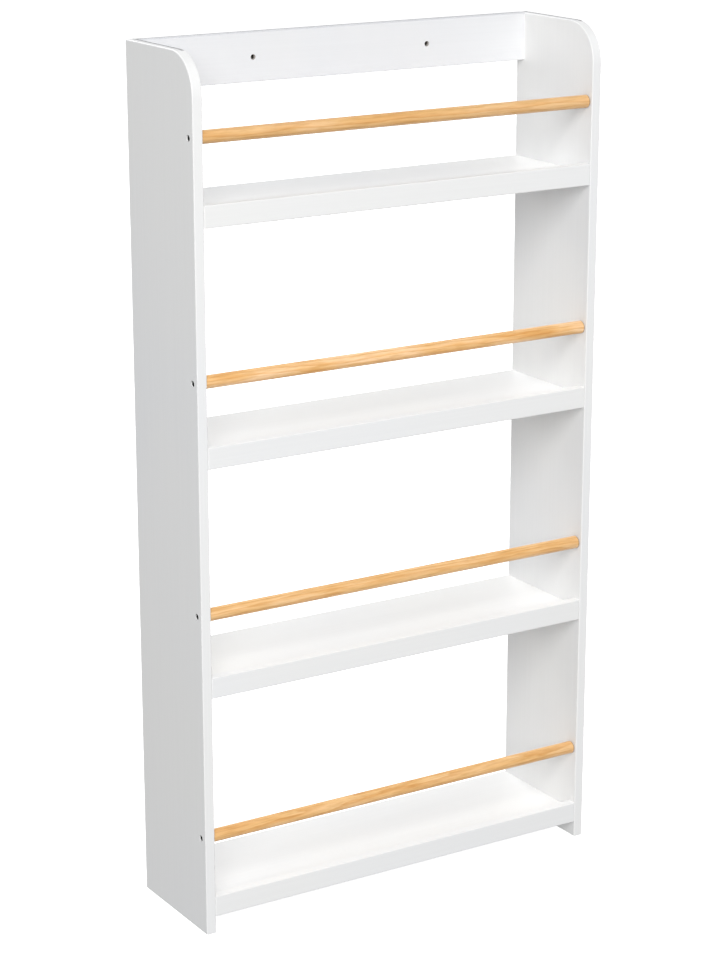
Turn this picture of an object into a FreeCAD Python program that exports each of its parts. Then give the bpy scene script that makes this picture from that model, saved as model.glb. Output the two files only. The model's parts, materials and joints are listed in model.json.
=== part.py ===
"""Narrow open bookcase: two side panels, four shelves with raised front lips, a top back rail and
four round retaining rods. All lengths are in millimetres.

Frame: +X to the right as seen from the front, +Y to the back, +Z up. The origin is on the floor,
under the middle of the bookcase.
"""
import FreeCAD, Part
import math
import os
import Sketcher

Vector = FreeCAD.Vector
Placement = FreeCAD.Placement
Rotation = FreeCAD.Rotation

# ---------------------------------------------------------------- driving dimensions

SIZES = {
    # the whole
    "height": 1000,            # floor to the top of the side panels
    "width": 530,              # outside to outside of the side panels
    "depth": 150,              # front edge to back edge of a side panel
    "edge_round": 1.2,         # every visible edge of the lacquered boards is eased this much
    # boards
    "side_thick": 12,
    "corner_round": 45,        # upper front corner of a side panel
    "shelf_thick": 15,
    "floor_gap": 20,           # floor to the underside of the lowest shelf
    "shelf_pitch": 265,
    "lip_tall": 25,
    "lip_thick": 12,
    "rail_tall": 55,
    "rail_thick": 15,
    # retaining rods
    "rod_dia": 15,
    "rod_setback": 10.5,       # front edge of a side panel to the rod's axis
    "rod_rise": 96,            # underside of a shelf to the axis of its rod
    "rod_chamfer": 0.8,        # at both ends, so that a fine groove shows where it meets the panel
    # screws that hold the rods, sunk in flat-bottomed bores
    "screw_head_dia": 7,
    "screw_head_tall": 3,
    "screw_head_round": 0.4,
    "screw_dia": 4,
    "screw_long": 45,
    "screw_sunk": 1.2,         # the head sits this far below the panel's outer face
    "screw_tip_long": 5,
    "screw_tip_dia": 0.4,
    "screw_hole_dia": 4.2,
    "screw_sink_dia": 7.4,
    "rod_bore_deep": 36,
    # cross recess in the heads of the screws and the faces of the cams
    "recess_wide": 1.1,
    "recess_deep": 1.6,
    "screw_recess_long": 4.4,
    "cam_recess_long": 6,
    # cam fittings
    "cam_dia": 14.8,
    "cam_tall": 11.8,
    "cam_bore_dia": 15.2,
    "cam_bore_deep": 12.2,
    "cam_inset": 24,           # board end to the cam's axis
    "cam_slot_wide": 7.4,      # the cam's jaw that takes the bolt's head
    "cam_slot_past": 4.5,      # how far the jaw runs past the cam's axis
    "bolt_grip": 9,            # length of the bolt that is screwed into the side panel
    "bolt_thread_dia": 5,
    "bolt_point": 0.8,         # chamfer at the threaded end
    "bolt_collar_dia": 7,
    "bolt_collar_long": 2,
    "bolt_neck_dia": 3.6,
    "bolt_neck_long": 5,
    "bolt_head_dia": 6.4,
    "bolt_slope": 1,           # length of the cones between the bolt's different diameters
    "bolt_head_past": 1,       # the head's full width ends this far past the cam's axis
    "bolt_crown": 1.4,         # and tapers over this length
    "bolt_bore_dia": 7.6,      # bore in the board's end that the bolt passes along
    "bolt_hole_dia": 5.2,      # blind hole in the side panel
    # wooden dowels
    "dowel_dia": 6,
    "dowel_long": 25,
    "dowel_taper": 0.8,
    "dowel_bore_dia": 6.2,
    "dowel_in_side": 8,        # length of a dowel inside a side panel
    "dowel_in_lip": 7,         # length of a dowel inside a front lip
    "dowel_play": 0.4,         # bores are this much deeper than the dowels
    "dowel_front_y": -40,      # the two dowels at each end of a shelf, and the cam between them
    "dowel_back_y": 52,
    "shelf_cam_y": 8,
    "lip_dowel_step": 170,     # spacing of the three dowels behind a lip
    "rail_cam_up": 19,         # underside of the rail to its cam fittings
    "rail_dowel_up": 41,       # underside of the rail to its dowels
    # wall fixing holes in the rail
    "wall_hole_dia": 6,
    "wall_hole_spacing": 230,
}
SHELF_COUNT = 4
SIDES = {"left": -1, "right": 1}
LEVELS = range(SHELF_COUNT)

doc = FreeCAD.newDocument("bookcase")
sheet = doc.addObject("Spreadsheet::Sheet", "sizes")
for row, (alias, value) in enumerate(SIZES.items(), start=1):
    sheet.set(f"A{row}", alias)
    sheet.set(f"B{row}", str(value))
    sheet.setAlias(f"B{row}", alias)
doc.recompute()

SHELF_LONG = "(sizes.width - 2 * sizes.side_thick)"
SHELF_DEEP = "(sizes.depth - sizes.lip_thick)"
CAM_AXIS_UP = "(sizes.shelf_thick / 2)"


def shelf_under(level):
    """Height of the underside of a shelf; level 0 is the lowest."""
    return f"(sizes.floor_gap + {level} * sizes.shelf_pitch)"


RAIL_UNDER = "(sizes.height - sizes.rail_tall)"
ROD_Y = "(sizes.rod_setback - sizes.depth / 2)"
RAIL_MID_Y = "(sizes.depth / 2 - sizes.rail_thick / 2)"

# ---------------------------------------------------------------- helpers

parts = []


def keep(part):
    """Add a finished sub-part to the list that is written out."""
    parts.append(part)
    return part


def new_body(name):
    body = doc.addObject("PartDesign::Body", name)
    body.Label = name
    return body


def place(part, x="0", y="0", z="0"):
    """Bind the three coordinates of a sub-part's Placement to the sheet."""
    for axis, formula in (("x", x), ("y", y), ("z", z)):
        part.setExpression(f"Placement.Base.{axis}", f"({formula}) * 1 mm")
    return part


def new_sketch(body, name, role, offset="0"):
    """A sketch on one of the body's own origin planes, moved along that plane's normal."""
    plane = next(item for item in body.Origin.OriginFeatures if item.Role == role)
    sketch = body.newObject("Sketcher::SketchObject", f"{body.Name}_{name}")
    sketch.AttachmentSupport = [(plane, "")]
    sketch.MapMode = "FlatFace"
    sketch.setExpression(".AttachmentOffset.Base.z", f"({offset}) * 1 mm")
    return sketch


def bind(sketch, kind, name, formula, *where):
    """A dimension of the sketch, named and driven by the sheet."""
    index = sketch.addConstraint(Sketcher.Constraint(kind, *where, sheet_value(formula)))
    sketch.renameConstraint(index, name)
    sketch.setExpression(f"Constraints.{name}", f"({formula}) * 1 mm")


def bind_offset(sketch, kind, name, formula, geometry, point):
    """The distance of a point from the sketch's origin along one axis, which may be on either side.

    The side is read from the sheet once, because a sketch dimension is never negative.
    """
    value = sheet_value(formula)
    if abs(value) < 1e-9:
        relation = "PointOnObject"
        axis = -2 if kind == "DistanceX" else -1
        sketch.addConstraint(Sketcher.Constraint(relation, geometry, point, axis))
        return
    first, last = ((-1, 1), (geometry, point)) if value > 0 else ((geometry, point), (-1, 1))
    signed = formula if value > 0 else f"0 - ({formula})"
    bind(sketch, kind, name, signed, *first, *last)


def sheet_value(formula):
    """The number that a formula of the sheet gives now."""
    return float(sheet.evalExpression(formula.replace("sizes.", "")))


def add_rectangle(sketch, left, bottom, wide, tall, tag=""):
    """A dimensioned rectangle; left and bottom are its lower left corner."""
    x, y = sheet_value(left), sheet_value(bottom)
    w, t = sheet_value(wide), sheet_value(tall)
    corners = [Vector(x, y), Vector(x + w, y), Vector(x + w, y + t), Vector(x, y + t)]
    base = sketch.GeometryCount
    for index, corner in enumerate(corners):
        sketch.addGeometry(Part.LineSegment(corner, corners[(index + 1) % 4]), False)
    for index in range(4):
        follower = base + (index + 1) % 4
        sketch.addConstraint(Sketcher.Constraint("Coincident", base + index, 2, follower, 1))
    for index, direction in enumerate(("Horizontal", "Vertical", "Horizontal", "Vertical")):
        sketch.addConstraint(Sketcher.Constraint(direction, base + index))
    bind(sketch, "DistanceX", f"wide{tag}", wide, base, 1, base, 2)
    bind(sketch, "DistanceY", f"tall{tag}", tall, base + 1, 1, base + 1, 2)
    bind_offset(sketch, "DistanceX", f"left{tag}", left, base, 1)
    bind_offset(sketch, "DistanceY", f"bottom{tag}", bottom, base, 1)


def add_circle(sketch, x, y, diameter, tag=""):
    """A dimensioned circle centred on x, y."""
    centre = Vector(sheet_value(x), sheet_value(y))
    radius = sheet_value(diameter) / 2
    index = sketch.GeometryCount
    sketch.addGeometry(Part.Circle(centre, Vector(0, 0, 1), radius), False)
    bind(sketch, "Diameter", f"diameter{tag}", diameter, index)
    bind_offset(sketch, "DistanceX", f"x{tag}", x, index, 3)
    bind_offset(sketch, "DistanceY", f"y{tag}", y, index, 3)


def pad(body, sketch, length):
    feature = body.newObject("PartDesign::Pad", f"{sketch.Name}_pad")
    feature.Profile = sketch
    feature.setExpression("Length", f"({length}) * 1 mm")
    doc.recompute()
    return feature


def pocket(body, sketch, length, along_normal):
    """Cut the sketch into the body, along its plane's normal or against it, and prove that it cut."""
    before = body.Shape.Volume
    feature = body.newObject("PartDesign::Pocket", f"{sketch.Name}_pocket")
    feature.Profile = sketch
    feature.Reversed = along_normal
    feature.setExpression("Length", f"({length}) * 1 mm")
    doc.recompute()
    if body.Shape.Volume >= before:
        raise RuntimeError(f"{feature.Name} cut nothing")
    return feature


def edges_where(shape, test):
    """Names of the straight and curved edges whose every end and middle passes the test."""
    names = []
    for number, edge in enumerate(shape.Edges, start=1):
        middle = edge.valueAt((edge.FirstParameter + edge.LastParameter) / 2)
        points = [vertex.Point for vertex in edge.Vertexes] + [middle]
        if all(test(point) for point in points):
            names.append(f"Edge{number}")
    return names


def ease(body, base, test):
    """Round over the chosen edges of a board."""
    feature = body.newObject("PartDesign::Fillet", f"{body.Name}_eased")
    feature.Base = (base, edges_where(base.Shape, test))
    feature.setExpression("Radius", "sizes.edge_round * 1 mm")
    doc.recompute()
    return feature


def near(value, target):
    return abs(value - target) < 1e-6


def group(name, source, places):
    """One node holding separate copies of a fastener, each at its own Placement."""
    copies = []
    for number, (rotation, x, y, z) in enumerate(places, start=1):
        link = doc.addObject("App::Link", f"{name}_{number}")
        link.LinkedObject = source
        link.LinkTransform = False
        link.Placement = Placement(Vector(), rotation)
        copies.append(place(link, x, y, z))
    compound = doc.addObject("Part::Compound", name)
    compound.Label = name
    compound.Links = copies
    return keep(compound)


# ---------------------------------------------------------------- where the fittings sit

# The fittings at one end of a shelf or of the rail, as (y, z) on the side panel.
CAM_POINTS = [("sizes.shelf_cam_y", f"({shelf_under(level)} + {CAM_AXIS_UP})") for level in LEVELS]
CAM_POINTS.append((RAIL_MID_Y, f"({RAIL_UNDER} + sizes.rail_cam_up)"))

DOWEL_POINTS = [
    (y, f"({shelf_under(level)} + {CAM_AXIS_UP})")
    for level in LEVELS
    for y in ("sizes.dowel_front_y", "sizes.dowel_back_y")
]
DOWEL_POINTS.append((RAIL_MID_Y, f"({RAIL_UNDER} + sizes.rail_dowel_up)"))

ROD_POINTS = [(ROD_Y, f"({shelf_under(level)} + sizes.rod_rise)") for level in LEVELS]

LIP_DOWEL_XS = [f"{step} * sizes.lip_dowel_step" for step in (-1, 0, 1)]

# ---------------------------------------------------------------- side panels


def side_profile(sketch):
    """Outline of a side panel in (y, z): a rectangle whose upper front corner is an arc."""
    deep, tall = SIZES["depth"], SIZES["height"]
    radius = SIZES["corner_round"]
    front, back = -deep / 2, deep / 2
    centre = Vector(front + radius, tall - radius)
    base_line = Part.LineSegment(Vector(front, 0), Vector(back, 0))
    back_line = Part.LineSegment(Vector(back, 0), Vector(back, tall))
    top_line = Part.LineSegment(Vector(back, tall), Vector(front + radius, tall))
    corner_circle = Part.Circle(centre, Vector(0, 0, 1), radius)
    corner_arc = Part.ArcOfCircle(corner_circle, math.pi / 2, math.pi)
    front_line = Part.LineSegment(Vector(front, tall - radius), Vector(front, 0))
    for piece in (base_line, back_line, top_line, corner_arc, front_line):
        sketch.addGeometry(piece, False)
    for constraint in (
        ("Coincident", 0, 2, 1, 1), ("Coincident", 1, 2, 2, 1),
        ("Tangent", 2, 2, 3, 1), ("Tangent", 3, 2, 4, 1), ("Coincident", 4, 2, 0, 1),
        ("Vertical", 1), ("Horizontal", 2), ("Vertical", 4),
        ("PointOnObject", 0, 1, -1), ("Symmetric", 0, 1, 0, 2, -2),
    ):
        sketch.addConstraint(Sketcher.Constraint(*constraint))
    bind(sketch, "DistanceX", "deep", "sizes.depth", 0, 1, 0, 2)
    bind(sketch, "DistanceY", "high", "sizes.height", 1, 1, 1, 2)
    bind(sketch, "Radius", "corner", "sizes.corner_round", 3)


def make_side_panel(side, sign):
    """A side panel. Its own x runs from 0 at its low face to side_thick at its high face."""
    body = new_body(f"side_panel_{side}")
    outline = new_sketch(body, "outline", "YZ_Plane")
    side_profile(outline)
    board = pad(body, outline, "sizes.side_thick")
    thick = SIZES["side_thick"]
    ease(body, board, lambda point: near(point.x, 0) or near(point.x, thick))
    inner, outer = ("sizes.side_thick", "0") if sign < 0 else ("0", "sizes.side_thick")
    into_panel = sign > 0
    for name, diameter, deep in (
        ("screw_heads", "sizes.screw_sink_dia", "sizes.screw_sunk + sizes.screw_head_tall"),
        ("screw_shanks", "sizes.screw_hole_dia", "sizes.side_thick"),
    ):
        screw_sketch = new_sketch(body, name, "YZ_Plane", outer)
        for number, (y, z) in enumerate(ROD_POINTS):
            add_circle(screw_sketch, y, z, diameter, number)
        pocket(body, screw_sketch, deep, not into_panel)
    bolt_sketch = new_sketch(body, "cam_bolts", "YZ_Plane", inner)
    for number, (y, z) in enumerate(CAM_POINTS):
        add_circle(bolt_sketch, y, z, "sizes.bolt_hole_dia", number)
    pocket(body, bolt_sketch, "sizes.bolt_grip + sizes.dowel_play", into_panel)
    dowel_sketch = new_sketch(body, "dowels", "YZ_Plane", inner)
    for number, (y, z) in enumerate(DOWEL_POINTS):
        add_circle(dowel_sketch, y, z, "sizes.dowel_bore_dia", number)
    pocket(body, dowel_sketch, "sizes.dowel_in_side + sizes.dowel_play", into_panel)
    low_face = "-sizes.width / 2" if sign < 0 else "sizes.width / 2 - sizes.side_thick"
    return keep(place(body, x=low_face))


# ---------------------------------------------------------------- boards between the panels


def end_bores(body, points, depth, diameter, name):
    """Bores into both ends of a board whose own x is centred, at (y, z) points of the board."""
    for side, sign in SIDES.items():
        face = f"{sign} * {SHELF_LONG} / 2"
        sketch = new_sketch(body, f"{name}_{side}", "YZ_Plane", face)
        for number, (y, z) in enumerate(points):
            add_circle(sketch, y, z, diameter, number)
        pocket(body, sketch, depth, sign < 0)


def make_shelf_board(level):
    """A shelf board. Its own origin is under the middle of the bookcase, at its underside."""
    body = new_body(f"shelf_board_{level + 1}")
    front = "(sizes.lip_thick - sizes.depth / 2)"
    outline = new_sketch(body, "outline", "XY_Plane")
    add_rectangle(outline, f"-{SHELF_LONG} / 2", front, SHELF_LONG, SHELF_DEEP)
    board = pad(body, outline, "sizes.shelf_thick")
    back = SIZES["depth"] / 2
    ease(body, board, lambda point: near(point.y, back)
         and (near(point.z, 0) or near(point.z, SIZES["shelf_thick"])))
    dowels = [("sizes.dowel_front_y", CAM_AXIS_UP), ("sizes.dowel_back_y", CAM_AXIS_UP)]
    end_bores(body, dowels, "sizes.dowel_long - sizes.dowel_in_side + sizes.dowel_play",
              "sizes.dowel_bore_dia", "dowels")
    end_bores(body, [("sizes.shelf_cam_y", CAM_AXIS_UP)], "sizes.cam_inset",
              "sizes.bolt_bore_dia", "bolts")
    cam_sketch = new_sketch(body, "cams", "XY_Plane")
    for number, sign in enumerate(SIDES.values()):
        add_circle(cam_sketch, f"{sign} * ({SHELF_LONG} / 2 - sizes.cam_inset)",
                   "sizes.shelf_cam_y", "sizes.cam_bore_dia", number)
    pocket(body, cam_sketch, "sizes.cam_bore_deep", True)
    lip_sketch = new_sketch(body, "lip_dowels", "XZ_Plane", f"-{front}")
    for number, x in enumerate(LIP_DOWEL_XS):
        add_circle(lip_sketch, x, CAM_AXIS_UP, "sizes.dowel_bore_dia", number)
    pocket(body, lip_sketch, "sizes.dowel_long - sizes.dowel_in_lip + sizes.dowel_play", False)
    return keep(place(body, z=shelf_under(level)))


def make_shelf_lip(level):
    """The raised front lip of a shelf. Its own origin is at its underside and its back face."""
    body = new_body(f"shelf_lip_{level + 1}")
    outline = new_sketch(body, "outline", "XY_Plane")
    add_rectangle(outline, f"-{SHELF_LONG} / 2", "-sizes.lip_thick", SHELF_LONG, "sizes.lip_thick")
    board = pad(body, outline, "sizes.lip_tall")
    front, top = -SIZES["lip_thick"], SIZES["lip_tall"]
    ease(body, board, lambda point: near(point.y, front) or (near(point.y, 0) and near(point.z, top)))
    sketch = new_sketch(body, "dowels", "XZ_Plane")
    for number, x in enumerate(LIP_DOWEL_XS):
        add_circle(sketch, x, CAM_AXIS_UP, "sizes.dowel_bore_dia", number)
    pocket(body, sketch, "sizes.dowel_in_lip + sizes.dowel_play", True)
    return keep(place(body, y="sizes.lip_thick - sizes.depth / 2", z=shelf_under(level)))


def make_top_rail():
    """The back rail under the top edge. Its own origin is at its underside and its back face."""
    body = new_body("top_rail")
    outline = new_sketch(body, "outline", "XY_Plane")
    add_rectangle(outline, f"-{SHELF_LONG} / 2", "-sizes.rail_thick", SHELF_LONG, "sizes.rail_thick")
    board = pad(body, outline, "sizes.rail_tall")
    low, high = 0, SIZES["rail_tall"]
    faces = (0, -SIZES["rail_thick"])
    ease(body, board, lambda point: (near(point.z, low) or near(point.z, high))
         and any(near(point.y, face) for face in faces))
    middle = "(-sizes.rail_thick / 2)"
    end_bores(body, [(middle, "sizes.rail_dowel_up")],
              "sizes.dowel_long - sizes.dowel_in_side + sizes.dowel_play",
              "sizes.dowel_bore_dia", "dowels")
    end_bores(body, [(middle, "sizes.rail_cam_up")], "sizes.cam_inset",
              "sizes.bolt_bore_dia", "bolts")
    cam_sketch = new_sketch(body, "cams", "XZ_Plane")
    for number, sign in enumerate(SIDES.values()):
        add_circle(cam_sketch, f"{sign} * ({SHELF_LONG} / 2 - sizes.cam_inset)",
                   "sizes.rail_cam_up", "sizes.cam_bore_dia", number)
    pocket(body, cam_sketch, "sizes.cam_bore_deep", True)
    wall_sketch = new_sketch(body, "wall_holes", "XZ_Plane", "sizes.rail_thick")
    for number, sign in enumerate(SIDES.values()):
        add_circle(wall_sketch, f"{sign} * sizes.wall_hole_spacing / 2", "sizes.rail_tall / 2",
                   "sizes.wall_hole_dia", number)
    pocket(body, wall_sketch, "sizes.rail_thick", False)
    return keep(place(body, y="sizes.depth / 2", z=RAIL_UNDER))


# ---------------------------------------------------------------- rods and fasteners


def revolved(name, points):
    """A turned solid about its own X axis, from (x, radius) points given as formulas."""
    body = new_body(name)
    sketch = new_sketch(body, "section", "XY_Plane")
    corners = [Vector(sheet_value(x), sheet_value(radius)) for x, radius in points]
    count = len(corners)
    for index, corner in enumerate(corners):
        sketch.addGeometry(Part.LineSegment(corner, corners[(index + 1) % count]), False)
    for index in range(count):
        sketch.addConstraint(Sketcher.Constraint("Coincident", index, 2, (index + 1) % count, 1))
    for index, (x, radius) in enumerate(points):
        bind_offset(sketch, "DistanceX", f"x{index}", x, index, 1)
        bind_offset(sketch, "DistanceY", f"radius{index}", radius, index, 1)
    feature = body.newObject("PartDesign::Revolution", f"{name}_turned")
    feature.Profile = sketch
    feature.ReferenceAxis = (sketch, ["H_Axis"])
    feature.Angle = 360
    doc.recompute()
    return body


def make_rod(level):
    """A round wooden rod between the side panels, bored at both ends for its screws."""
    radius = "sizes.rod_dia / 2"
    half = f"{SHELF_LONG} / 2"
    body = revolved(f"rod_{level + 1}", [
        (f"-{half}", "0"),
        (f"-{half}", f"{radius} - sizes.rod_chamfer"),
        (f"sizes.rod_chamfer - {half}", radius),
        (f"{half} - sizes.rod_chamfer", radius),
        (half, f"{radius} - sizes.rod_chamfer"),
        (half, "0"),
    ])
    end_bores(body, [("0", "0")], "sizes.rod_bore_deep", "sizes.screw_hole_dia", "bore")
    y, z = ROD_POINTS[level]
    return keep(place(body, y=y, z=z))


def cross_recess(body, plane, length):
    """Cut a cross into the fastener's face, which lies in the given origin plane."""
    for name, wide, tall in (
        ("upright", "sizes.recess_wide", length),
        ("level", length, "sizes.recess_wide"),
    ):
        sketch = new_sketch(body, name, plane)
        add_rectangle(sketch, f"-{wide} / 2", f"-{tall} / 2", wide, tall)
        pocket(body, sketch, "sizes.recess_deep", True)


def make_rod_screw():
    """A flat-headed screw, head face at x = 0 and point towards +X, with a cross recess."""
    head_radius = "sizes.screw_head_dia / 2"
    shank_radius = "sizes.screw_dia / 2"
    body = revolved("rod_screw", [
        ("0", "0"),
        ("0", f"{head_radius} - sizes.screw_head_round"),
        ("sizes.screw_head_round", head_radius),
        ("sizes.screw_head_tall", head_radius),
        ("sizes.screw_head_tall", shank_radius),
        ("sizes.screw_long - sizes.screw_tip_long", shank_radius),
        ("sizes.screw_long", "sizes.screw_tip_dia / 2"),
        ("sizes.screw_long", "0"),
    ])
    cross_recess(body, "YZ_Plane", "sizes.screw_recess_long")
    return body


def make_cam_bolt():
    """A cam bolt along +X: thread below x = 0, then collar, neck and head up to the cam."""
    collar, neck, head = (f"sizes.bolt_{name}_dia / 2" for name in ("collar", "neck", "head"))
    head_starts = "(sizes.cam_inset - sizes.bolt_head_dia / 2)"
    neck_starts = f"({head_starts} - sizes.bolt_neck_long)"
    crown_starts = "sizes.cam_inset + sizes.bolt_head_past"
    return revolved("cam_bolt", [
        ("-sizes.bolt_grip", "0"),
        ("-sizes.bolt_grip", "sizes.bolt_thread_dia / 2 - sizes.bolt_point"),
        ("sizes.bolt_point - sizes.bolt_grip", "sizes.bolt_thread_dia / 2"),
        ("0", "sizes.bolt_thread_dia / 2"),
        ("0", collar),
        ("sizes.bolt_collar_long", collar),
        ("sizes.bolt_collar_long + sizes.bolt_slope", head),
        (f"{neck_starts} - sizes.bolt_slope", head),
        (neck_starts, neck),
        (head_starts, neck),
        (f"{head_starts} + sizes.bolt_slope", head),
        (crown_starts, head),
        (f"{crown_starts} + sizes.bolt_crown", neck),
        (f"{crown_starts} + sizes.bolt_crown", "0"),
    ])


def make_dowel():
    """A wooden dowel along +X, from 0 to its length, with tapered ends."""
    radius = "sizes.dowel_dia / 2"
    return revolved("dowel", [
        ("0", "0"),
        ("0", f"{radius} - sizes.dowel_taper"),
        ("sizes.dowel_taper", radius),
        ("sizes.dowel_long - sizes.dowel_taper", radius),
        ("sizes.dowel_long", f"{radius} - sizes.dowel_taper"),
        ("sizes.dowel_long", "0"),
    ])


def make_cam():
    """A cam lock, face at z = 0 and body above it, its jaw open towards -X."""
    body = new_body("cam")
    disc = new_sketch(body, "disc", "XY_Plane")
    add_circle(disc, "0", "0", "sizes.cam_dia")
    pad(body, disc, "sizes.cam_tall")
    jaw = new_sketch(body, "jaw", "XY_Plane", f"{CAM_AXIS_UP} - sizes.cam_slot_wide / 2")
    add_rectangle(jaw, "-sizes.cam_dia", "-sizes.cam_slot_wide / 2",
                  "sizes.cam_dia + sizes.cam_slot_past", "sizes.cam_slot_wide")
    pocket(body, jaw, "sizes.cam_slot_wide", True)
    cross_recess(body, "XY_Plane", "sizes.cam_recess_long")
    return body


# Directions of a fastener whose own axis is +X. "right" ones point from the right panel inwards.
ALONG_X = Rotation()
AGAINST_X = Rotation(Vector(0, 0, 1), 180)
ALONG_Y = Rotation(Vector(0, 0, 1), 90)
INWARD = {"left": ALONG_X, "right": AGAINST_X}
# A cam in a board's underside faces down, and one in the rail's back faces backwards.
FACE_BACK = Rotation(Vector(1, 0, 0), 90)


def inner_face(sign, inset="0"):
    """x of a side panel's inner face, or of a point further in."""
    return f"{sign} * ({SHELF_LONG} / 2 - {inset})"


def place_rod_screws(screw):
    for side, sign in SIDES.items():
        head_x = f"{sign} * (sizes.width / 2 - sizes.screw_sunk)"
        group(f"rod_screws_{side}", screw, [(INWARD[side], head_x, y, z) for y, z in ROD_POINTS])


def place_shelf_fittings(cam, bolt, dowel):
    outer_end = "(0 - sizes.dowel_in_side)"
    for level in LEVELS:
        mid = f"({shelf_under(level)} + {CAM_AXIS_UP})"
        group(f"shelf_cams_{level + 1}", cam, [
            (INWARD[side], inner_face(sign, "sizes.cam_inset"), "sizes.shelf_cam_y",
             shelf_under(level))
            for side, sign in SIDES.items()])
        group(f"shelf_cam_bolts_{level + 1}", bolt, [
            (INWARD[side], inner_face(sign), "sizes.shelf_cam_y", mid)
            for side, sign in SIDES.items()])
        group(f"shelf_dowels_{level + 1}", dowel, [
            (INWARD[side], inner_face(sign, outer_end), y, mid)
            for side, sign in SIDES.items()
            for y in ("sizes.dowel_front_y", "sizes.dowel_back_y")])
        lip_start = "sizes.lip_thick - sizes.depth / 2 - sizes.dowel_in_lip"
        group(f"lip_dowels_{level + 1}", dowel, [
            (ALONG_Y, x, lip_start, mid) for x in LIP_DOWEL_XS])


def place_rail_fittings(cam, bolt, dowel):
    cam_z = f"({RAIL_UNDER} + sizes.rail_cam_up)"
    dowel_z = f"({RAIL_UNDER} + sizes.rail_dowel_up)"
    outer_end = "(0 - sizes.dowel_in_side)"
    group("rail_cams", cam, [
        (FACE_BACK.multiply(INWARD[side]), inner_face(sign, "sizes.cam_inset"),
         "sizes.depth / 2", cam_z)
        for side, sign in SIDES.items()])
    group("rail_cam_bolts", bolt, [
        (INWARD[side], inner_face(sign), RAIL_MID_Y, cam_z) for side, sign in SIDES.items()])
    group("rail_dowels", dowel, [
        (INWARD[side], inner_face(sign, outer_end), RAIL_MID_Y, dowel_z)
        for side, sign in SIDES.items()])


def build():
    for side, sign in SIDES.items():
        make_side_panel(side, sign)
    make_top_rail()
    for level in LEVELS:
        make_shelf_board(level)
        make_shelf_lip(level)
        make_rod(level)
    place_rod_screws(make_rod_screw())
    fittings = make_cam(), make_cam_bolt(), make_dowel()
    place_shelf_fittings(*fittings)
    place_rail_fittings(*fittings)


def check_document():
    """Stop if any object failed to compute or any sub-part has no sound shape."""
    doc.recompute()
    for item in doc.Objects:
        if {"Invalid", "Error"} & set(item.State):
            raise RuntimeError(f"{item.Name} is {item.State}")
    for part in parts:
        if part.Shape.isNull() or not part.Shape.isValid():
            raise RuntimeError(f"{part.Label} has no valid shape")


def write_parts():
    os.makedirs("parts", exist_ok=True)
    for part in parts:
        part.Shape.exportStep(f"parts/{part.Label}.step")
        box = part.Shape.BoundBox
        print(f"{part.Label}: {len(part.Shape.Solids)} solids, "
              f"{box.XLength:.1f} x {box.YLength:.1f} x {box.ZLength:.1f}")


build()
check_document()
write_parts()
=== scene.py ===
import json
import math

import bpy
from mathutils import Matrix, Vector


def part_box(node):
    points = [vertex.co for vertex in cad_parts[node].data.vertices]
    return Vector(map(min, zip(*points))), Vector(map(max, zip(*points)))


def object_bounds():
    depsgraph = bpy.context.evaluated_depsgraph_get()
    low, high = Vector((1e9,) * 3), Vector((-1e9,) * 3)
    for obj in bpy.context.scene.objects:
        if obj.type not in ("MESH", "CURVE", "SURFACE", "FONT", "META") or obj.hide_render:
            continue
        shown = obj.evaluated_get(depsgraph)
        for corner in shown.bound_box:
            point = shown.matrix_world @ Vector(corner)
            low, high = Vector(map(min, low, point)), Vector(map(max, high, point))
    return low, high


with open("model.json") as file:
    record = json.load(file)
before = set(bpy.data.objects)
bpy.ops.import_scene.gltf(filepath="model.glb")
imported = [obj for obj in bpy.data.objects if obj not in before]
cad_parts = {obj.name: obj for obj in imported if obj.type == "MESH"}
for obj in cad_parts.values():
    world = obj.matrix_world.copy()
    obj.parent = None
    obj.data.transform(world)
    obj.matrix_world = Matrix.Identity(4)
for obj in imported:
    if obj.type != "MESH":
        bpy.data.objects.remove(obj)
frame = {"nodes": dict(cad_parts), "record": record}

cad_low, cad_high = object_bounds()
centre = (cad_low + cad_high) / 2
nodes = frame["nodes"]

MM = 0.001
X, Y, Z = range(3)

# ---------------------------------------------------------------- the camera

# It stands to the front left and a little above, with a long lens.
CAMERA_TURN = math.radians(31.9)       # from straight ahead towards the left
CAMERA_TILT = math.radians(16.33)      # looking down
CAMERA_DISTANCE = 3.039
CAMERA_LENS = 98.1                     # millimetres, on Blender's usual 36 mm
AIM_OFFSET = Vector((-0.012, 0.0015, -0.017))

# ---------------------------------------------------------------- the light

# A large soft source stands over the camera. Another one behind the bookcase shines through its
# open back on to the shelves, a low one to the right lights the right panel's outer face, and a
# pale room fills the rest. Turn is in degrees from straight ahead towards the left, rise in
# degrees up.
LIGHTS = {
    "key": {"turn": 30, "rise": 28, "size": 4.5, "watts": 356},
    "backdrop": {"turn": 180, "rise": 36, "size": 3.0, "watts": 262},
    "side": {"turn": 265, "rise": 5, "size": 3.0, "watts": 150},
}
LIGHT_DISTANCE = 6.5
ROOM_COLOUR = (0.985, 0.99, 1.0)
ROOM_STRENGTH = 0.435

FLOOR_FLAT = 14.0          # radius of the level part of the floor
FLOOR_SWEEP = 12.0         # radius of the curve that takes it up into a backdrop all round
FLOOR_TURNS = 64
FLOOR_STEPS = 12
FLOOR_COLOUR = (0.9, 0.9, 0.9, 1)
FLOOR_SHADE = (0.86, 0.86, 0.86, 1)
FLOOR_SHADE_MOST = 0.02    # the largest share of the shade in the floor's clouds
FLOOR_CLOUD = 2.0          # clouds per metre
FLOOR_ROUGH = 0.9
FLOOR_GLOW = 0.68

# ---------------------------------------------------------------- node helpers

# Most values of a soft noise lie in the first of these ranges, and nearly all in the second.
NOISE_RANGE = (0.3, 0.7)
NOISE_REACH = (0.2, 0.8)


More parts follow.
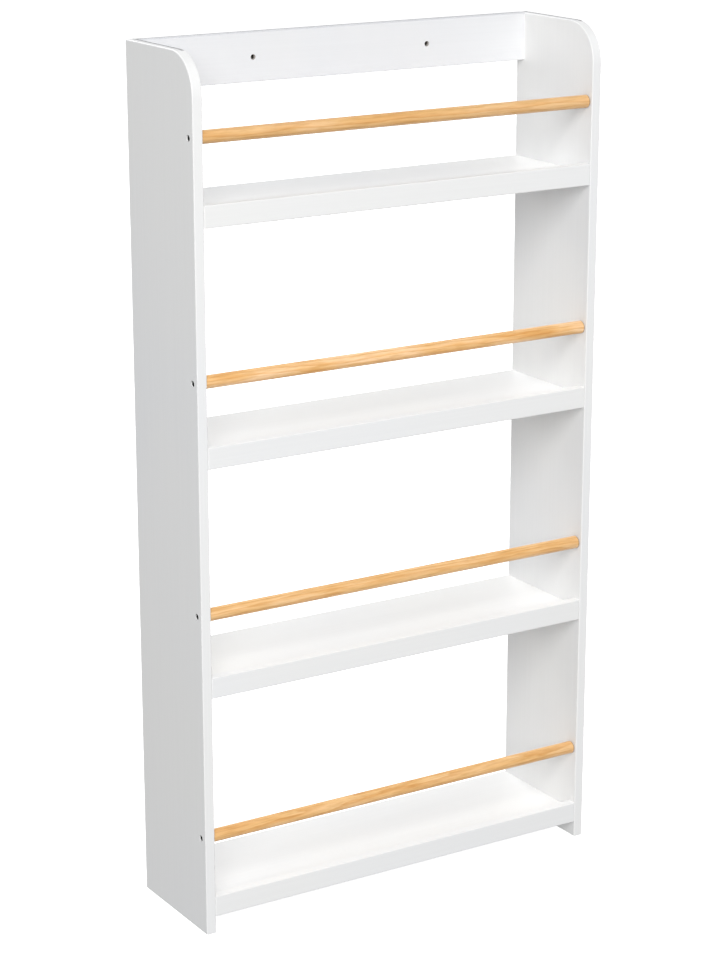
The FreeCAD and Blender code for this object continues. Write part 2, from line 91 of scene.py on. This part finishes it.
class Graph:
    """A material's node tree, with short ways to add and wire nodes."""

    def __init__(self, name):
        self.material = bpy.data.materials.new(name)
        self.material.use_nodes = True
        self.tree = self.material.node_tree
        self.tree.nodes.clear()
        output = self.tree.nodes.new("ShaderNodeOutputMaterial")
        self.surface = self.tree.nodes.new("ShaderNodeBsdfPrincipled")
        self.wire(self.surface.outputs["BSDF"], output.inputs["Surface"])
        self.place = self.add("ShaderNodeTexCoord").outputs["Object"]

    def add(self, kind, **settings):
        node = self.tree.nodes.new(kind)
        for key, value in settings.items():
            setattr(node, key, value)
        return node

    def wire(self, source, target):
        """Connect an output, or set a plain value."""
        if isinstance(source, bpy.types.NodeSocket):
            self.tree.links.new(source, target)
        else:
            target.default_value = source

    def math(self, operation, first, second=0.0):
        node = self.add("ShaderNodeMath", operation=operation)
        self.wire(first, node.inputs[0])
        self.wire(second, node.inputs[1])
        return node.outputs[0]

    def vector(self, operation, first, second=(0, 0, 0)):
        node = self.add("ShaderNodeVectorMath", operation=operation)
        self.wire(first, node.inputs[0])
        self.wire(second, node.inputs[1])
        return node.outputs["Value" if operation == "LENGTH" else "Vector"]

    def stretch(self, scale, shift=(0, 0, 0)):
        """The place, moved and then scaled along each axis."""
        return self.vector("MULTIPLY", self.vector("ADD", self.place, shift), scale)

    def noise(self, scale, shift=(0, 0, 0), detail=3.0, rough=0.5):
        """Soft noise with so many features per metre."""
        return self.grain(X, scale, scale, shift, detail, rough)

    def grain(self, axis, along, across, shift=(0, 0, 0), detail=3.0, rough=0.5):
        """Soft noise with so many features per metre along one axis and across it."""
        scale = [across] * 3
        scale[axis] = along
        node = self.add("ShaderNodeTexNoise")
        self.wire(self.stretch(scale, shift), node.inputs["Vector"])
        self.wire(1.0, node.inputs["Scale"])
        self.wire(detail, node.inputs["Detail"])
        self.wire(rough, node.inputs["Roughness"])
        return node.outputs["Fac"]

    def split(self, vector):
        """The three parts of a vector or a colour."""
        node = self.add("ShaderNodeSeparateXYZ")
        self.wire(vector, node.inputs[0])
        return node.outputs

    def span(self, value, low, high, to_low=0.0, to_high=1.0):
        """Map a value from one range to another, and hold it there."""
        node = self.add("ShaderNodeMapRange", clamp=True)
        for index, item in enumerate((value, low, high, to_low, to_high)):
            self.wire(item, node.inputs[index])
        return node.outputs[0]

    def vary(self, noise, to_low, to_high):
        """A soft noise, spread between two values."""
        return self.span(noise, *NOISE_RANGE, to_low, to_high)

    def blend(self, factor, first, second, mode="MIX"):
        node = self.add("ShaderNodeMix", data_type="RGBA", blend_type=mode)
        self.wire(factor, node.inputs["Factor"])
        self.wire(first, node.inputs[6])
        self.wire(second, node.inputs[7])
        return node.outputs[2]

    def times(self, first, second):
        """A colour multiplied by another colour or by a value."""
        return self.blend(1.0, first, second, "MULTIPLY")

    def ramp(self, value, stops):
        """A colour ramp from (position, colour) stops."""
        node = self.add("ShaderNodeValToRGB")
        self.wire(value, node.inputs[0])
        elements = node.color_ramp.elements
        while len(elements) < len(stops):
            elements.new(0.5)
        for element, (position, colour) in zip(elements, stops):
            element.position = position
            element.color = (*colour, 1)
        return node.outputs[0]

    def bump(self, height, depth, under=None):
        """Relief of the given depth in metres, over any earlier relief."""
        node = self.add("ShaderNodeBump")
        self.wire(1.0, node.inputs["Strength"])
        self.wire(depth, node.inputs["Distance"])
        self.wire(height, node.inputs["Height"])
        if under:
            self.wire(under, node.inputs["Normal"])
        return node.outputs[0]

    def finish(self, colour, rough, relief=None, **fixed):
        """Wire the surface's inputs and set its plain values."""
        for key, value in (("Base Color", colour), ("Roughness", rough), ("Normal", relief)):
            if value is not None:
                self.wire(value, self.surface.inputs[key])
        for key, value in fixed.items():
            socket = key.replace("_", " ").title().replace("Ior", "IOR")
            self.surface.inputs[socket].default_value = value
        return self.material


# ---------------------------------------------------------------- white lacquer

IOR = 1.5
LACQUER_CLOUD = 3.1        # slow changes of tone and gloss, per metre
LACQUER_STOPS = [
    (0.35, (0.835, 0.842, 0.848)),
    (0.50, (0.845, 0.848, 0.846)),
    (0.66, (0.847, 0.848, 0.838)),
]
LACQUER_ROUGH = (0.36, 0.42)
FINE = 1400                # finest changes of gloss, per metre
FINE_ROUGH = (-0.02, 0.03)
PEEL = 260.0               # the lacquer's own fine ripple, per metre
PEEL_DEEP = 0.03 * MM
# A board's fibres run along its length and show faintly through the lacquer.
FIBRE_ALONG = 5.0          # fibre streaks per metre along the board
FIBRE_ACROSS = 420.0       # and across it
FIBRE_RANGE = (0.35, 0.65)
FIBRE_TONES = (0.985, 1.0)
FIBRE_DEEP = 0.05 * MM
SPECK_CELLS = 26.0         # cells per metre, few of which hold a speck
SPECK_SHARE = 0.97         # share of the cells that stay clean
SPECK_RADIUS = 0.018       # of a cell
SPECK_DARK = 0.35
SPECK_COLOUR = (0.30, 0.29, 0.27, 1)
# The eased edges of a board are a little duller, and rubbed here and there. The largest part of a
# face's normal tells them: the face is flat from the first number up, an edge from the second down.
EASED_RANGE = (0.995, 0.8)
EASED_ROUGH = 0.15
RUB = 55                   # rubbed places per metre
RUB_RANGE = (0.50, 0.72)
RUB_MOST = 0.28
RUB_COLOUR = (0.80, 0.77, 0.71, 1)
# The flat tops of the upper boards are darkened with painted shade, and along the rim on one side
# of each, the side away from the key light, runs a fine grey line of painted shade.
TOP_DEEP = 1.3 * MM
TOP_PAINTED_SHADE = (0.90, 0.90, 0.91, 1)
RIM_WIDE = 4 * MM
RIM_SOFT = 1.5 * MM
RIM_WANDER = 0.5 * MM
RIM_PAINTED_SHADE = (0.32, 0.32, 0.33, 1)
# Painted shade: the rail is a darker, cooler copy of the same white lacquer.
RAIL_PAINTED_SHADE = (0.925, 0.932, 0.955)
# The wall fixing bores were drilled after lacquering, so their walls are bare board; painted shade
# darkens the first part of each wall, grey near the mouth and near black further in.
BORE_PLAY = 0.1 * MM
BORE_ROUGH = 0.9
BORE_WANDER = 0.03         # of the bore's length
BORE_SHADE_STOPS = [             # painted shade, grey at the mouth and near black further in; bare board at the far end
    (0.00, (0.60, 0.58, 0.55)),
    (0.24, (0.44, 0.41, 0.38)),
    (0.34, (0.025, 0.019, 0.014)),
    (0.80, (0.025, 0.019, 0.014)),
    (0.95, (0.34, 0.24, 0.16)),
]


def eased(graph):
    """1 on the rounded edges of a square board, and 0 on its flat faces."""
    normal = graph.add("ShaderNodeNewGeometry").outputs["True Normal"]
    sides = [graph.math("ABSOLUTE", item) for item in graph.split(normal)]
    largest = graph.math("MAXIMUM", graph.math("MAXIMUM", sides[X], sides[Y]), sides[Z])
    return graph.span(largest, *EASED_RANGE)


def specks(graph, shift):
    """1 in sparse small dots, and 0 elsewhere."""
    cells = graph.add("ShaderNodeTexVoronoi", feature="F1")
    graph.wire(graph.stretch((SPECK_CELLS,) * 3, shift), cells.inputs["Vector"])
    chosen = graph.math("GREATER_THAN", graph.split(cells.outputs["Color"])[0], SPECK_SHARE)
    dot = graph.span(cells.outputs["Distance"], SPECK_RADIUS, SPECK_RADIUS / 2)
    return graph.math("MULTIPLY", dot, chosen)


def flat_top(graph, board, axis, wander):
    """Masks for the painted shade on a board's flat top: all of it, and its rim on the high side of
    the axis.
    """
    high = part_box(board)[1]
    place = graph.split(graph.place)
    top = graph.span(place[Z], high.z - TOP_DEEP, high.z - TOP_DEEP / 2)
    across = graph.math("ADD", place[axis], wander)
    rim = graph.span(across, high[axis] - RIM_WIDE - RIM_SOFT, high[axis] - RIM_WIDE)
    return top, graph.math("MULTIPLY", top, rim)


def bore_wall_mask(graph, x, z, radius):
    """1 on the wall of a bore along Y, and 0 elsewhere."""
    away = graph.vector("MULTIPLY", graph.vector("SUBTRACT", graph.place, (x, 0, z)), (1, 0, 1))
    return graph.math("LESS_THAN", graph.vector("LENGTH", away), radius + BORE_PLAY)


def bore_wall_shade(graph, fine):
    """The colour of a bore's wall from the rail's front to its back: painted shade, then bare board
    at the far end.
    """
    front, back = (corner.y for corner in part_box("top_rail"))
    depth = graph.span(graph.split(graph.place)[Y], front, back)
    wander = graph.vary(fine, -BORE_WANDER, BORE_WANDER)
    return graph.ramp(graph.math("ADD", depth, wander), BORE_SHADE_STOPS)


def white_lacquer(name, along, shift, bores=(), rim=None, tint=(1, 1, 1)):
    """Satin white lacquer over fine fibreboard; along is the axis of the board's length.

    rim gives the board whose flat top is darkened with painted shade and the axis towards its rim,
    which carries a grey line of painted shade; bores lists the (x, z, radius) of the bores whose
    walls are bare board with painted shade near the mouth; and tint darkens the whole board as
    painted shade.
    """
    graph = Graph(name)
    fibre = graph.grain(along, FIBRE_ALONG, FIBRE_ACROSS, shift, detail=4, rough=0.6)
    cloud = graph.noise(LACQUER_CLOUD, shift)
    peel = graph.noise(PEEL, shift, detail=2)
    fine = graph.noise(FINE, shift, detail=2, rough=0.6)
    rub = graph.noise(RUB, shift, detail=4, rough=0.7)
    edges = eased(graph)

    colour = graph.ramp(cloud, LACQUER_STOPS)
    colour = graph.times(colour, graph.span(fibre, *FIBRE_RANGE, *FIBRE_TONES))
    # tint is painted shade where it is not plain white: the rail's copy of the lacquer is darker
    # and cooler.
    colour = graph.times(colour, (*tint, 1))
    speck = graph.math("MULTIPLY", specks(graph, shift), SPECK_DARK)
    colour = graph.blend(speck, colour, SPECK_COLOUR)
    rubbed = graph.math("MULTIPLY", edges, graph.span(rub, *RUB_RANGE))
    colour = graph.blend(graph.math("MULTIPLY", rubbed, RUB_MOST), colour, RUB_COLOUR)
    if rim:
        # Painted shade: the flat top is darkened, and a grey line of painted shade runs along its
        # rim on the side away from the key light.
        top, shaded_rim = flat_top(graph, *rim, graph.vary(rub, -RIM_WANDER, RIM_WANDER))
        colour = graph.blend(top, colour, TOP_PAINTED_SHADE, "MULTIPLY")
        colour = graph.blend(shaded_rim, colour, RIM_PAINTED_SHADE)

    rough = graph.math("ADD", graph.vary(cloud, *LACQUER_ROUGH), graph.vary(fine, *FINE_ROUGH))
    rough = graph.math("ADD", rough, graph.math("MULTIPLY", edges, EASED_ROUGH))
    for x, z, radius in bores:
        bore_wall = bore_wall_mask(graph, x, z, radius)
        # Painted shade inside the bore: grey near the mouth, near black further in.
        colour = graph.blend(bore_wall, colour, bore_wall_shade(graph, fine))
        rough = graph.math("MAXIMUM", rough, graph.math("MULTIPLY", bore_wall, BORE_ROUGH))
    relief = graph.bump(fibre, FIBRE_DEEP)
    relief = graph.bump(peel, PEEL_DEEP, relief)
    return graph.finish(colour, rough, relief, ior=IOR, coat_weight=0.12, coat_roughness=0.22)


# ---------------------------------------------------------------- woods

# Features per metre along and across the grain, and each noise's detail and roughness.
WOOD_NOISES = {
    "wander": (4.0, 28.0, 2, 0.5),         # slow bends of the growth rings
    "wobble": (20.0, 160.0, 3, 0.55),      # and quick ones
    "fibre": (30.0, 2400.0, 3, 0.65),
    "pore": (35.0, 800.0, 2, 0.5),
    "patch": (16.0, 90.0, 2, 0.5),         # long patches of deeper and of paler wood
    "streak": (42.0, 480.0, 2, 0.5),       # short streaks along the grain
}
RING_SPACING = 4.0 * MM
RING_WANDER = 5.0 * MM
RING_WOBBLE = 1.3 * MM
LATE_RANGE = (0.55, 0.95)  # part of a ring over which its late wood sets in
LATE_ROUGH = -0.05
LATE_DEEP = 0.04 * MM
WOOD_ROUGH = (0.36, 0.50)
WOOD_FIBRE_TONES = (0.90, 1.05)
WOOD_FIBRE_DEEP = 0.05 * MM
DEEP_TINT = (0.94, 0.88, 0.76)
PALE_TINT = (1.05, 1.10, 1.26)
NO_TINT = (1.0, 1.0, 1.0)
PATCH_PLACES = (0.32, 0.50, 0.68)      # noise values of the deep, plain and pale wood
STREAK_STOPS = [
    (0.32, (0.90, 0.85, 0.78)),
    (0.55, (1.02, 1.02, 1.04)),
]
PORE_RANGE = (0.62, 0.76)
PORE_MOST = 0.30
PORE_COLOUR = (0.52, 0.25, 0.09, 1)
PINE_STOPS = [             # over one growth ring
    (0.00, (0.88, 0.545, 0.230)),
    (0.50, (0.865, 0.515, 0.210)),
    (0.80, (0.80, 0.44, 0.160)),
    (0.90, (0.76, 0.405, 0.135)),
    (1.00, (0.87, 0.535, 0.225)),
]
BEECH_STOPS = [
    (0.00, (0.62, 0.42, 0.26)),
    (0.70, (0.56, 0.36, 0.21)),
    (1.00, (0.50, 0.31, 0.17)),
]
# The end grain and the chamfers of a rod drink the lacquer and turn dark, and painted shade darkens
# the rod next to them, where it meets the side panel.
END_DARK = 1.9 * MM
END_MOST = 0.75
END_COLOUR = (0.20, 0.10, 0.045, 1)
# Each rod, the lowest one first, is cut from a different place in the tree. turned_wood says what
# pith, lean, contrast and shift are, and tone is the rod's brightness.
RODS = [
    {"pith": (24 * MM, -30 * MM), "lean": (0.010, 0.022), "tone": 0.99, "contrast": 1.0,
     "shift": (0.0, 0.4, 0.0)},
    {"pith": (-33 * MM, -18 * MM), "lean": (-0.024, 0.012), "tone": 1.0, "contrast": 1.1,
     "shift": (3.7, 1.7, 2.1)},
    {"pith": (18 * MM, 36 * MM), "lean": (0.016, -0.026), "tone": 1.04, "contrast": 2.1,
     "shift": (7.4, 3.37, 4.2)},
    {"pith": (-26 * MM, 27 * MM), "lean": (0.028, 0.008), "tone": 0.94, "contrast": 1.0,
     "shift": (11.1, 4.3, 6.3)},
]
DOWEL_PITH = (60 * MM, 45 * MM)
DOWEL_LEAN = (0.004, 0.006)
DOWEL_SHIFT = (7.1, 2.2, 5.3)


def growth_rings(graph, middle, pith, lean, wander, wobble):
    """How far through a growth ring each place is, from 0 to 1."""
    parts = graph.split(graph.vector("SUBTRACT", graph.place, middle))
    squares = []
    for axis, offset, slope in zip((Y, Z), pith, lean):
        away = graph.math("SUBTRACT", graph.math("SUBTRACT", parts[axis], offset),
                          graph.math("MULTIPLY", parts[X], slope))
        squares.append(graph.math("MULTIPLY", away, away))
    radius = graph.math("SQRT", graph.math("ADD", *squares))
    for noise, reach in ((wander, RING_WANDER), (wobble, RING_WOBBLE)):
        radius = graph.math("ADD", radius, graph.span(noise, *NOISE_REACH, -reach, reach))
    return graph.math("FRACT", graph.math("DIVIDE", radius, RING_SPACING))


def turned_wood(name, middle, pith, lean, stops, shift, contrast=1.0):
    """Wood that lies along X, with growth rings round a pith line that passes beside the piece.

    middle is a point on the piece's axis, pith the pith line's offset from it in Y and Z, and lean
    the slope of the pith line along the piece, so that the rings run out at its surface. shift
    gives the piece its own part of every noise, and contrast is the strength of the deeper and
    paler patches.
    """
    graph = Graph(name)
    noises = {}
    for key, (along, across, detail, rough) in WOOD_NOISES.items():
        noises[key] = graph.grain(X, along, across, shift, detail, rough)
    ring = growth_rings(graph, middle, pith, lean, noises["wander"], noises["wobble"])
    fibre = noises["fibre"]

    colour = graph.ramp(ring, stops)
    colour = graph.times(colour, graph.vary(fibre, *WOOD_FIBRE_TONES))
    deep, pale = (tuple(item ** contrast for item in tint) for tint in (DEEP_TINT, PALE_TINT))
    patch_stops = list(zip(PATCH_PLACES, (deep, NO_TINT, pale)))
    colour = graph.times(colour, graph.ramp(noises["patch"], patch_stops))
    colour = graph.times(colour, graph.ramp(noises["streak"], STREAK_STOPS))
    flecks = graph.span(noises["pore"], *PORE_RANGE, 0.0, PORE_MOST)
    colour = graph.blend(flecks, colour, PORE_COLOUR)

    late = graph.span(ring, *LATE_RANGE)
    rough = graph.math("ADD", graph.vary(fibre, *WOOD_ROUGH),
                       graph.math("MULTIPLY", late, LATE_ROUGH))
    relief = graph.bump(fibre, WOOD_FIBRE_DEEP)
    relief = graph.bump(late, LATE_DEEP, relief)
    return graph, colour, rough, relief


def middle_of(node):
    low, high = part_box(node)
    return (low + high) / 2


def pine(level):
    """Clear-lacquered pine of one rod, dark at its ends."""
    rod = RODS[level]
    name = f"rod_{level + 1}"
    graph, colour, rough, relief = turned_wood(
        f"pine_{level + 1}", middle_of(name), rod["pith"], rod["lean"], PINE_STOPS, rod["shift"],
        rod["contrast"])
    colour = graph.times(colour, (rod["tone"], rod["tone"], rod["tone"], 1))
    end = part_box(name)[1].x
    along = graph.math("ABSOLUTE", graph.split(graph.place)[X])
    # Darker end grain together with painted shade where the rod meets the panel.
    end_grain_and_shade = graph.span(along, end - END_DARK, end - END_DARK / 2)
    colour = graph.blend(graph.math("MULTIPLY", end_grain_and_shade, END_MOST), colour, END_COLOUR)
    return graph.finish(colour, rough, relief, ior=IOR, coat_weight=0.25, coat_roughness=0.3)


def beech():
    """Bare beech of the dowels."""
    graph, colour, rough, relief = turned_wood(
        "beech", centre, DOWEL_PITH, DOWEL_LEAN, BEECH_STOPS, DOWEL_SHIFT)
    return graph.finish(colour, rough, relief, ior=IOR)


# ---------------------------------------------------------------- metals

# Marks are so many per metre along X and across it, with their detail and roughness, and set the
# gloss and the relief. Clouds are the slow changes between the two tones.
METALS = {
    "zinc_alloy": {        # dull die-cast zinc of the cams
        "marks": (1700, 1700, 4, 0.6), "clouds": 260, "rough": (0.36, 0.56), "deep": 0.03 * MM,
        "tones": [(0.3, (0.47, 0.48, 0.50)), (0.7, (0.64, 0.65, 0.67))],
    },
    "plated_steel": {      # zinc-plated bolts with turning marks round their axis
        "marks": (5200, 300, 2, 0.5), "clouds": 350, "rough": (0.26, 0.42), "deep": 0.02 * MM,
        "tones": [(0.3, (0.58, 0.56, 0.50)), (0.7, (0.72, 0.70, 0.66))],
    },
}
BLACK_GRAIN = 2600
BLACK_PATCHES = 700
BLACK_ROUGH = (0.34, 0.50)
BLACK_DEEP = 0.02 * MM
BLACK_COLOUR = (0.014, 0.014, 0.015, 1)
WORN_RANGE = (0.60, 0.74)
WORN_MOST = 0.55
WORN_COLOUR = (0.12, 0.117, 0.114, 1)


def bare_metal(name):
    """Metal with fine marks and slow changes of tone."""
    values = METALS[name]
    graph = Graph(name)
    along, across, detail, rough = values["marks"]
    marks = graph.grain(X, along, across, detail=detail, rough=rough)
    clouds = graph.noise(values["clouds"], rough=0.6)
    colour = graph.ramp(clouds, values["tones"])
    relief = graph.bump(marks, values["deep"])
    return graph.finish(colour, graph.vary(marks, *values["rough"]), relief, metallic=1.0)


def black_steel():
    """Black-oxide steel with small patches of bare metal."""
    graph = Graph("black_steel")
    grain = graph.noise(BLACK_GRAIN, detail=4, rough=0.65)
    patches = graph.noise(BLACK_PATCHES, rough=0.6)
    worn = graph.span(patches, *WORN_RANGE, 0.0, WORN_MOST)
    colour = graph.blend(worn, BLACK_COLOUR, WORN_COLOUR)
    relief = graph.bump(grain, BLACK_DEEP)
    return graph.finish(colour, graph.vary(grain, *BLACK_ROUGH), relief, metallic=0.85)


# ---------------------------------------------------------------- dressing the model


def dress(names, material):
    """Give CAD nodes one material all over."""
    for name in names:
        data = nodes[name].data
        data.materials.clear()
        data.materials.append(material)


def named(*starts):
    return sorted(name for name in nodes if name.startswith(starts))


def wall_bores():
    """The wall fixing holes, as (x, z, radius), from the record's own mount."""
    mount = next(item for item in frame["record"]["mounts"] if item["name"] == "wall_holes")
    half = mount["dims"]["spacing_x_mm"] * MM / 2
    radius = mount["dims"]["hole_r_mm"] * MM
    return [(sign * half, mount["pos_m"][2], radius) for sign in (-1, 1)]


def dress_all():
    """Dress every node. The shifts give each board its own part of every noise."""
    for number, side in enumerate(("left", "right")):
        panel = f"side_panel_{side}"
        dress([panel], white_lacquer(f"lacquer_side_{side}", Z, (number * 5.3, 0.7, 1.9),
                                     rim=(panel, X)))
    # The rail's lacquer carries painted shade: a darker, cooler copy of the white.
    dress(["top_rail"], white_lacquer("lacquer_rail", X, (2.7, 3.1, 0.3), wall_bores(),
                                      rim=("top_rail", Y), tint=RAIL_PAINTED_SHADE))
    for level in range(len(RODS)):
        shift = (level * 4.1 + 1, level * 2.9, level * 1.7)
        dress([f"shelf_board_{level + 1}"], white_lacquer(f"lacquer_shelf_{level + 1}", X, shift))
        lip_shift = (level * 3.3 + 2, level * 5.9, level * 0.7)
        dress([f"shelf_lip_{level + 1}"], white_lacquer(f"lacquer_lip_{level + 1}", X, lip_shift))
        dress([f"rod_{level + 1}"], pine(level))
    dress(named("rod_screws"), black_steel())
    dress(named("shelf_cams", "rail_cams"), bare_metal("zinc_alloy"))
    dress(named("shelf_cam_bolts", "rail_cam_bolts"), bare_metal("plated_steel"))
    dress(named("shelf_dowels", "rail_dowels", "lip_dowels"), beech())


# ---------------------------------------------------------------- stage, light and camera


def floor_paint():
    """Pale matt paint that glows a little, with very faint clouds."""
    graph = Graph("floor")
    cloud = graph.noise(FLOOR_CLOUD, detail=2, rough=0.55)
    colour = graph.blend(graph.vary(cloud, 0.0, FLOOR_SHADE_MOST), FLOOR_COLOUR, FLOOR_SHADE)
    return graph.finish(colour, FLOOR_ROUGH, emission_color=(1, 1, 1, 1),
                        emission_strength=FLOOR_GLOW)


def make_floor():
    """A plain pale floor that curves up far away, so that it has no edge or horizon."""
    rings = [(FLOOR_FLAT, 0.0)]
    for step in range(1, FLOOR_STEPS + 1):
        angle = math.pi / 2 * step / FLOOR_STEPS
        out, up = math.sin(angle), 1 - math.cos(angle)
        rings.append((FLOOR_FLAT + FLOOR_SWEEP * out, FLOOR_SWEEP * up))
    points = [(0, 0, 0)]
    for radius, rise in rings:
        for turn in range(FLOOR_TURNS):
            angle = 2 * math.pi * turn / FLOOR_TURNS
            points.append((radius * math.cos(angle), radius * math.sin(angle), rise))
    faces = []
    for turn in range(FLOOR_TURNS):
        following = (turn + 1) % FLOOR_TURNS
        faces.append((0, 1 + turn, 1 + following))
        for ring in range(len(rings) - 1):
            inner, outer = 1 + ring * FLOOR_TURNS, 1 + (ring + 1) * FLOOR_TURNS
            faces.append((inner + turn, outer + turn, outer + following, inner + following))
    data = bpy.data.meshes.new("floor")
    data.from_pydata(points, [], faces)
    data.shade_smooth()
    data.materials.append(floor_paint())
    floor = bpy.data.objects.new("floor", data)
    bpy.context.scene.collection.objects.link(floor)
    floor.visible_diffuse = False
    floor.visible_glossy = False
    floor.visible_shadow = False


def direction(turn, rise):
    """The unit vector towards a point that far left of straight ahead and that far up."""
    level = math.cos(rise)
    return Vector((-math.sin(turn) * level, -math.cos(turn) * level, math.sin(rise)))


def aim(thing, towards):
    thing.rotation_euler = (towards - thing.location).to_track_quat("-Z", "Y").to_euler()


def make_lights():
    for name, values in LIGHTS.items():
        data = bpy.data.lights.new(name, "AREA")
        data.shape = "DISK"
        data.size = values["size"]
        data.energy = values["watts"]
        light = bpy.data.objects.new(name, data)
        light.visible_camera = False
        bpy.context.scene.collection.objects.link(light)
        turn, rise = math.radians(values["turn"]), math.radians(values["rise"])
        light.location = centre + LIGHT_DISTANCE * direction(turn, rise)
        aim(light, centre)
    world = bpy.data.worlds.new("room")
    world.use_nodes = True
    background = world.node_tree.nodes["Background"]
    background.inputs["Color"].default_value = (*ROOM_COLOUR, 1)
    background.inputs["Strength"].default_value = ROOM_STRENGTH
    bpy.context.scene.world = world


def make_camera():
    data = bpy.data.cameras.new("camera")
    data.lens = CAMERA_LENS
    camera = bpy.data.objects.new("camera", data)
    bpy.context.scene.collection.objects.link(camera)
    target = centre + AIM_OFFSET
    camera.location = target + CAMERA_DISTANCE * direction(CAMERA_TURN, CAMERA_TILT)
    aim(camera, target)
    bpy.context.scene.camera = camera


make_camera()
make_lights()
make_floor()
dress_all()
bpy.context.scene.view_settings.view_transform = "Standard"
